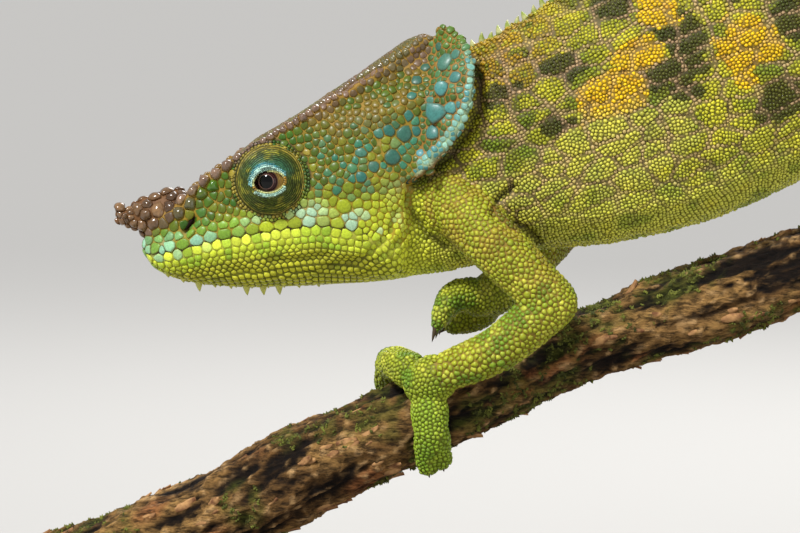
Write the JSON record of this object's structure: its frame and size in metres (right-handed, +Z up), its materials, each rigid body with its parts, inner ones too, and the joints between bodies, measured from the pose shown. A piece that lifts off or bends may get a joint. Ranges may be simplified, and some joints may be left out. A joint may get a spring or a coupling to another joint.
{
  "type": "elephant-eared chameleon display model",
  "caption": "Still life-size chameleon with a horned snout, turret eyes, wide ear flaps and a curled tail, gripping a cut branch on a stand.",
  "frame": {"origin": "middle of the underside of the stand's flat base", "axes": "+X from the snout to the tail along the base, -Y towards the animal's left side, +Z up"},
  "size_m": [0.2096, 0.084, 0.125],
  "materials": {
    "green_skin": "granular scaled skin, satin",
    "flap_skin": "large flat turquoise scales, satin",
    "eye_skin": "fine ringed granules, satin",
    "horn_knobs": "brown knobbed scales, half gloss",
    "eyeball": "wet gloss",
    "bark": "rough flaking bark with moss",
    "base_wood": "dark satin varnish",
    "rod_brass": "brushed, lacquered"
  },
  "bodies": {
    "root": {"head": "green_skin", "lower_jaw": "green_skin", "snout_horn": "horn_knobs", "ear_flap_left": "flap_skin", "eye_turret_left": "eye_skin", "eyeball_left": "eyeball", "ear_flap_right": "flap_skin", "eye_turret_right": "eye_skin", "eyeball_right": "eyeball", "neck": "green_skin", "torso": "green_skin", "tail_1": "green_skin", "tail_2": "green_skin", "tail_3": "green_skin", "tail_4": "green_skin", "tail_5": "green_skin", "upper_arm_left": "green_skin", "forearm_left": "green_skin", "hand_left": "green_skin", "hand_inner_toes_left": "green_skin", "hand_outer_toes_left": "green_skin", "thigh_left": "green_skin", "shin_left": "green_skin", "foot_left": "green_skin", "foot_inner_toes_left": "green_skin", "foot_outer_toes_left": "green_skin", "upper_arm_right": "green_skin", "forearm_right": "green_skin", "hand_right": "green_skin", "hand_inner_toes_right": "green_skin", "hand_outer_toes_right": "green_skin", "thigh_right": "green_skin", "shin_right": "green_skin", "foot_right": "green_skin", "foot_inner_toes_right": "green_skin", "foot_outer_toes_right": "green_skin", "perch": "bark", "stand_base": "base_wood", "stand_rod_low": "rod_brass", "stand_rod_high": "rod_brass"}
  },
  "joints": []
}
